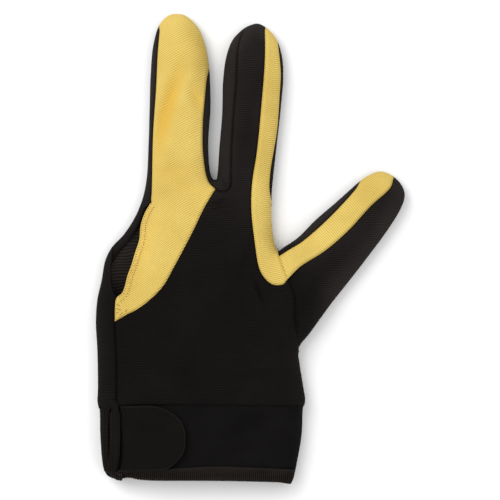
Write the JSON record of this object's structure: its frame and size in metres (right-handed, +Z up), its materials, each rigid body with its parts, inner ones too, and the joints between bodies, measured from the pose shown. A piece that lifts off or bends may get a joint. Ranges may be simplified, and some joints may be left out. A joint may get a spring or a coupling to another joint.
{
  "type": "billiard glove",
  "caption": "Open three-finger billiard glove for the left hand, black knit with yellow finger stripes, elastic cuff and a hook-and-loop tab, lying palm down.",
  "frame": {"origin": "middle of the glove's footprint, on the surface that it lies on, palm down", "axes": "+Z up out of the back of the hand, +Y from the cuff to the fingertips, +X towards the thumb"},
  "size_m": [0.1477, 0.2252, 0.0185],
  "materials": {
    "black_knit": "black stretch knit with fine cross ribs, matt, with a faint sheen on the folds",
    "yellow_knit": "warm yellow stretch knit with fine slanting ribs, matt",
    "cuff_cloth": "smooth black elastic cloth laminated on thin foam, matt",
    "binding_tape": "black ribbed binding tape, matt",
    "strap_cloth": "black brushed loop cloth of the tab, matt",
    "hook_tape": "black moulded hook tape"
  },
  "bodies": {
    "root": {"palm_panel": "black_knit", "back_panel": "black_knit", "middle_finger_panel": "yellow_knit", "index_stripe": "yellow_knit", "thumb_stripe": "yellow_knit", "thumb_panel": "black_knit", "thumb_gusset": "black_knit", "finger_gusset": "black_knit", "outer_gusset": "black_knit", "side_gusset": "black_knit", "opening_hem": "black_knit", "cuff_band": "cuff_cloth", "cuff_binding": "binding_tape", "slit_binding": "binding_tape", "wrist_strap": "strap_cloth", "hook_patch": "hook_tape"}
  },
  "joints": []
}
